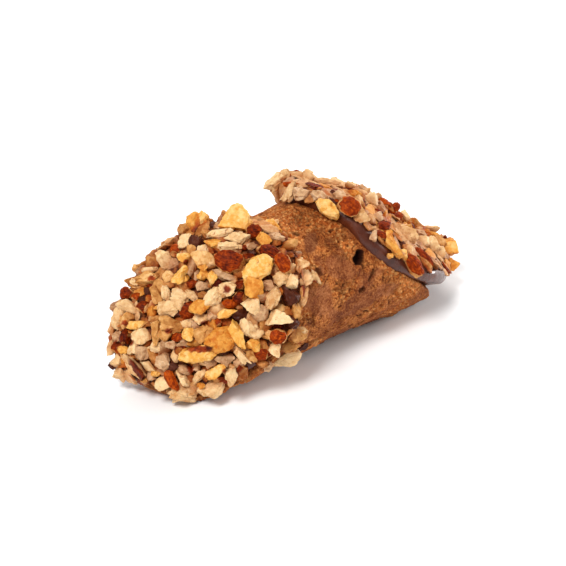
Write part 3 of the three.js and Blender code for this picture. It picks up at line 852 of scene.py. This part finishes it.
def block_faces(draw, sides, first):
    """Which way the flat faces of a block look, and how far out they are: its sides, its
    top, its foot, and three that cut corners off."""
    count = sides or draw.integers(4, 7)
    jitter = GIVEN_JITTER if sides else SIDE_JITTER
    turns = 2 * math.pi * (np.arange(count) + draw.uniform(-jitter, jitter, count)) / count
    turns += -math.pi / 2 if sides else draw.uniform(0, 2 * math.pi)
    lean = draw.uniform(-SIDE_LEAN, SIDE_LEAN, count) * (0.3 if count >= ROUND_SIDES else 1)
    normals = [(math.cos(t), math.sin(t), slope) for t, slope in zip(turns, lean)]
    normals.append((*draw.uniform(-TOP_LEAN, TOP_LEAN, 2), 1.0))
    normals.append((*draw.uniform(-FOOT_LEAN, FOOT_LEAN, 2), -1.0))
    normals.extend(unit(draw.normal(size=(3, 3))))
    offsets = draw.uniform(*FACE_OFFSETS, len(normals))
    offsets[-3:] = draw.uniform(*CUT_OFFSETS, 3)
    if not first:
        offsets = draw.uniform(*LATER_OFFSETS, len(normals))
    if count >= ROUND_SIDES:
        offsets[:count] = draw.uniform(*ROUND_OFFSETS, count)
    if sides == 3:
        offsets[-3:] = FARTHEST_CORNER
    return unit(normals), offsets


def broken_chip(draw, directions, sides, outside, wrinkled):
    """A chip with flat broken faces: one to three blocks grown into each other. Outside is
    the way to the nut's own round outside, where the chip has a part of it. Returns points
    that fill the box from -1 to 1, and for each its tone, how far it is on that outside,
    and how far on a rind face."""
    radius, tone, rind = np.zeros(len(directions)), 0, 0
    round_share = np.zeros(len(directions))
    for block in range(1 if sides or outside is not None else draw.integers(2, 4)):
        normals, offsets = block_faces(draw, sides, block == 0)
        bulge = draw.uniform(*BULGE)
        if outside is None:
            limit = np.full(len(directions), 1 / FARTHEST_CORNER)
        else:
            offsets[normals @ outside > 0.3] = 1.5
            towards, back = directions @ outside, bulge - BULGE_TOP
            reach = np.sqrt((towards * back) ** 2 + bulge ** 2 - back ** 2) - towards * back
            limit = 1 / reach
        pull = np.column_stack((np.maximum(0, directions @ normals.T) / offsets, limit)) ** SHARPNESS
        total = pull.sum(axis=1)
        block_radius = total ** (-1 / SHARPNESS)
        over = smooth(-0.03, 0.03, block_radius - radius)
        radius = np.maximum(radius, block_radius)
        face_tone = draw.uniform(-FACE_TONE, FACE_TONE, pull.shape[1])
        face_rind = (draw.uniform(0, 1, pull.shape[1]) < RIND_SHARE).astype(float)
        tone = tone * (1 - over) + over * (pull @ face_tone) / total
        rind = rind * (1 - over) + over * (pull @ face_rind) / total
        if outside is not None:
            round_share = pull[:, -1] / total
    for dent in unit(draw.normal(size=(4, 3)) * (1, 1, 0.5)):
        near = np.arccos(np.clip(directions @ dent, -1, 1)) / draw.uniform(*DENT_WIDTH)
        radius *= 1 - draw.uniform(*DENT_DEPTH) * np.exp(-near * near) * (1 - round_share)
    shift = draw.uniform(0, 50, 3)
    rough = fractal(directions + shift, 1 / 3, 4)
    radius *= 1 + 0.12 * rough * (1 - 0.6 * round_share * wrinkled)
    if outside is not None and wrinkled:
        wrinkles = fractal(directions * (1.5, 7, 7) + shift, 1.0, 3)
        radius *= 1 + 0.05 * wrinkles * round_share
        tone = tone + 0.3 * wrinkles * round_share
    points = directions * radius[:, None]
    points -= (points.max(0) + points.min(0)) / 2
    points /= points.max(0)
    return points, tone, smooth(0.35, 0.65, round_share + 0.2 * rough), smooth(0.3, 0.7, rind + 0.25 * rough)


def frame_of(up, along):
    """The axes of a piece whose third axis is up and whose first is nearest to along."""
    up = unit(up)
    first = along - up * (along @ up)
    if np.linalg.norm(first) < 1e-6:
        first = np.cross(up, (0, 0, 1))
    first = unit(first)
    return np.stack((first, np.cross(up, first), up))


SEARCH_DEPTHS = np.linspace(DISTANCE - 60, DISTANCE + 60, 241)


def foot_on(tree, shell, x, y):
    """Where the sight through a pixel meets the cream or the shell, or comes nearest to the
    cream: the point on the sight, the one on the surface and the way out of it there."""
    eye, direction = Vector(EYE), Vector(sight(x, y))
    hits = [hit for hit in (tree.ray_cast(eye, direction), shell.ray_cast(eye, direction)) if hit[0]]
    if hits:
        point, normal, _, _ = min(hits, key=lambda hit: hit[3])
        normal = np.array(normal)
        return np.array(point), np.array(point), normal if normal @ BACK > 0 else -normal
    found = []
    for depth in SEARCH_DEPTHS:
        on_sight = eye + direction * depth
        near_point, _, _, gap = tree.find_nearest(on_sight)
        found.append((gap, on_sight, near_point))
    _, on_sight, near_point = min(found, key=lambda place: place[0])
    return np.array(on_sight), np.array(near_point), unit(np.array(on_sight - near_point))


def height_over(tree, points):
    return np.array([tree.find_nearest(Vector(point))[3] for point in points])


class Nuts:
    """All the chips: first those that show in the photograph, then those that fill in."""

    def __init__(self, trees, shell):
        self.trees, self.shell = trees, shell
        self.draw = np.random.default_rng(NUT_SEED)
        self.balls = {detail: unit_ball(detail) for detail in (2, 3, 4, 5)}
        self.heaps = {kind: [] for kind in (*NUT_SHARES, "lump")}
        self.placed = np.zeros((0, 4))  # a place and a radius for each chip
        self.above = 0  # how many of them show
        self.seen = []  # the oval of each shown nut, and how far towards the camera it is

    def add(self, kind, tree, centre, axes, half, detail, sides=None, shift=0.0, shown=False, clean=False):
        """A chip of any kind, from its middle, its axes and its half sizes."""
        draw = self.draw
        directions, faces = self.balls[detail]
        outside = None
        if kind == "skinned" or draw.random() < OUTSIDE_SHARE:
            if shown:
                outside = unit((draw.normal() * 0.15, draw.normal() * 0.15, 1.0))
            else:
                outside = unit(draw.normal(size=3))
        if sides:
            outside = np.array((0, 0, 1.0)) if sides >= ROUND_SIDES else None
        shape, tone, skin, rind = broken_chip(draw, directions, sides, outside, kind == "skinned")
        points = (shape * half) @ axes + centre
        points[:, 2] += max(0, FLOOR_Z + NUT_CLEARANCE - points[:, 2].min())
        height = height_over(tree, points)
        ragged = 0.12 * np.sin(directions @ draw.normal(size=3) * 6)
        smear = smooth(*SMEAR_HEIGHTS, height + ragged) * (kind != "lump")
        if shown or clean:
            smear *= smooth(*CLEAN_HEIGHTS, shape[:, 2])
        skin = skin * (kind == "skinned")
        if shown and kind != "lump":
            skin = self.patched(skin, points, directions)
        deep_shade = smooth(*DEEP_SHADE_HEIGHTS, height) * (DEEP_SHADE_SHOWN if shown or clean else 1)
        look = {"tone": tone + draw.uniform(*TONE_RANGE) + shift, "skin": skin, "smear": smear,
                "deep_shade": deep_shade, "rind": rind * (not shown)}
        self.heaps[kind].append((points, faces, look))

    def patched(self, skin, points, directions):
        """The skin of a chip with the patches that fall on it."""
        pixels = pixels_of(points)
        if any(spot(pixels, *patch).max() > 0 for patch in SKIN_PATCHES):
            pixels += RAGGED_PIXELS * fractal(directions, 0.3, 3)[:, None] * (1, -1)
        for patch in SKIN_PATCHES:
            skin = np.maximum(skin, spot(pixels, *patch, edge=0.2))
        return skin

    def show(self, kind, mouth, x, y, length, width, angle=0, sides=None):
        """A chip from a row of the tables."""
        draw, tree = self.draw, self.trees[mouth.side]
        on_sight, foot, outward = foot_on(tree, self.shell, x, y)
        scale = np.linalg.norm(on_sight - EYE) / FOCAL_PIXELS
        half = np.array((length, width, 0)) * scale * NUT_FULLNESS[kind] / 2
        half[2] = max(0.5 * half[1] + 0.25 * half[0], 0.5) * draw.uniform(0.8, 1.1)
        tilt = math.radians(angle)
        along = RIGHT * math.cos(tilt) + UP * math.sin(tilt)
        aim, loose = SIDED if sides else LOOSE
        axes = frame_of(unit(aim * BACK + outward) + draw.normal(size=3) * NUT_TILT * loose, along)
        lift = min(NUT_LIFT[kind] * 2 * half[2] / max(outward @ BACK, FLATTEST_SIGHT), HIGHEST_LIFT)
        gap = np.linalg.norm(on_sight - foot)
        if gap > 0.7 * half[1]:
            # The chip under it is a little darker: painted shade.
            self.add(kind, tree, (on_sight + foot) / 2, axes, 0.9 * half, 3, shift=-0.1)
        centre = on_sight + BACK * (0 if gap > 0 else lift)
        self.add(kind, tree, centre, axes, half, 5 if half[0] > BIG_NUT else 4, sides, shown=True)
        self.placed = np.vstack((self.placed, (*on_sight, 0.5 * (half[0] + half[1]))))
        self.above += 1
        if kind != "lump":
            self.seen.append(((x, y, length, width, angle), centre @ BACK))

    def in_front(self, pixels, tops, reach):
        """Which places are in front of a shown nut in the picture, or within reach of it."""
        found = np.zeros(len(tops), bool)
        for (x, y, length, width, angle), depth in self.seen:
            inside = spot(pixels, x, y, length + reach, width + reach, angle) > 0.5
            found |= inside & (tops @ BACK > depth)
        return found

    def fill(self, mouth, size, wanted, apart, clear, rise, detail, shift):
        """The chips that a row of NUT_FILLS gives a mouth."""
        draw = self.draw
        wanted, rise = int(wanted * mouth.fill), rise * mouth.fill
        radius = 0.5 * (size[0] + size[1])
        turns = draw.uniform(0, 2 * math.pi, FILL_TRIES)
        reaches = covered_reach(mouth, turns) * np.sqrt(draw.uniform(0, 1, FILL_TRIES))
        points, outwards = cream_point(mouth, turns, reaches), cream_facing(mouth, turns, reaches)
        pixels = pixels_of(points)
        kept = points[:, 2] > FLOOR_Z + size[2]
        for bare_spot in BARE_SPOTS:
            kept &= spot(pixels, *bare_spot, facing=outwards @ BACK) < 0.5
        flat = self.in_front(pixels, points + outwards * rise * size[2], radius / PIXEL)
        for point, outward, low in zip(points[kept], outwards[kept], flat[kept]):
            if wanted == 0:
                break
            spacing = np.where(np.arange(len(self.placed)) < self.above, clear, apart)
            away = np.linalg.norm(self.placed[:, :3] - point, axis=1)
            if (away < spacing * (self.placed[:, 3] + radius)).any():
                continue
            open_place = 0 if low else smooth(*OPEN_DISTANCES, away[:self.above].min())
            half = np.array(size) * draw.uniform(*FILL_RANGE, 3) * (1, 1, LOW_HEIGHT if low else 1)
            up = outward + draw.normal(size=3) * (FLAT_TILT if low else FILL_TILT)
            axes = frame_of(up, draw.normal(size=3))
            kind = list(NUT_SHARES)[draw.choice(len(NUT_SHARES), p=list(NUT_SHARES.values()))]
            centre = point + outward * (rise + 0.5 * open_place) * half[2]
            # Open places and chips in front of a shown nut get less of the painted shade.
            less_fill_shade = LESS_FILL_SHADE * (1 if low else open_place)
            self.add(kind, self.trees[mouth.side], centre, axes, half, detail, shift=shift + less_fill_shade, clean=low)
            self.placed = np.vstack((self.placed, (*point, radius)))
            wanted -= 1

    def build(self):
        for kind, tones in NUT_TONES.items():
            build_heap("nuts_" + kind, self.heaps[kind], nut_finish(kind, *tones))
        build_heap("chocolate_lumps", self.heaps["lump"], lump_finish())


def make_nuts(trees, shell):
    nuts = Nuts(trees, shell)
    for mouth, table in ((NEAR, NEAR_NUTS), (FAR, FAR_NUTS)):
        for kind, rows in table.items():
            for row in rows:
                nuts.show(kind, mouth, *row)
    for mouth in (NEAR, FAR):
        for fill in NUT_FILLS:
            nuts.fill(mouth, *fill)
    nuts.build()


# The room: a pale floor, soft light and the camera. Its lengths are metres.
FLOOR_HALF = 3.0
CORNERS = ((-1, -1), (1, -1), (1, 1), (-1, 1))
SKY_STRENGTH = 0.42
LIT_POINT = (0, 0, 0.02)
LIGHTS = [  # a name, a diameter, a power and a place
    ("key", 0.2, 2.7, (-0.34, -0.12, 0.45)),
    ("side", 0.25, 1.2, (0.42, -0.3, 0.26)),
    ("back", 0.3, 1.6, (0.32, 0.3, 0.42)),
    ("edge", 0.14, 0.8, (0.44, -0.07, 0.035)),
]
NEAREST, FARTHEST = 0.01, 10.0  # that the camera sees


def paper_finish():
    finish = Finish("floor_paper", Roughness=0.9)
    finish.set("Base Color", finish.ramp(finish.noise(40, 2), (0.4, (247, 247, 247)),
                                         (0.6, (250, 250, 250))))
    return finish.material


def make_floor():
    mesh = bpy.data.meshes.new("floor")
    mesh.from_pydata([(x * FLOOR_HALF, y * FLOOR_HALF, 0) for x, y in CORNERS], [], [(0, 1, 2, 3)])
    mesh.materials.append(paper_finish())
    new_object("floor", mesh)


def make_light(name, diameter, power, location):
    lamp = bpy.data.lights.new(name, "AREA")
    lamp.shape = "DISK"
    lamp.size = diameter
    lamp.energy = power
    light = new_object(name, lamp)
    light.location = location
    light.rotation_euler = (Vector(location) - Vector(LIT_POINT)).to_track_quat("Z", "Y").to_euler()


def make_room():
    scene = bpy.context.scene
    scene.view_settings.view_transform = "Standard"
    scene.view_settings.look = "None"
    world = bpy.data.worlds.new("studio")
    world.use_nodes = True
    sky = world.node_tree.nodes["Background"]
    sky.inputs["Color"].default_value = (1, 1, 1, 1)
    sky.inputs["Strength"].default_value = SKY_STRENGTH
    scene.world = world
    for light in LIGHTS:
        make_light(*light)
    make_floor()


def make_camera():
    camera = bpy.data.cameras.new("camera")
    camera.lens = FOCAL_PIXELS * camera.sensor_width / IMAGE
    camera.clip_start, camera.clip_end = NEAREST, FARTHEST
    viewer = new_object("camera", camera)
    axes = Matrix((RIGHT, UP, BACK)).transposed().to_4x4()
    viewer.matrix_world = Matrix.Translation(place(EYE)) @ axes
    bpy.context.scene.camera = viewer


make_camera()
make_room()
shell_surface = make_shell()
make_nuts(make_cream(), shell_surface)
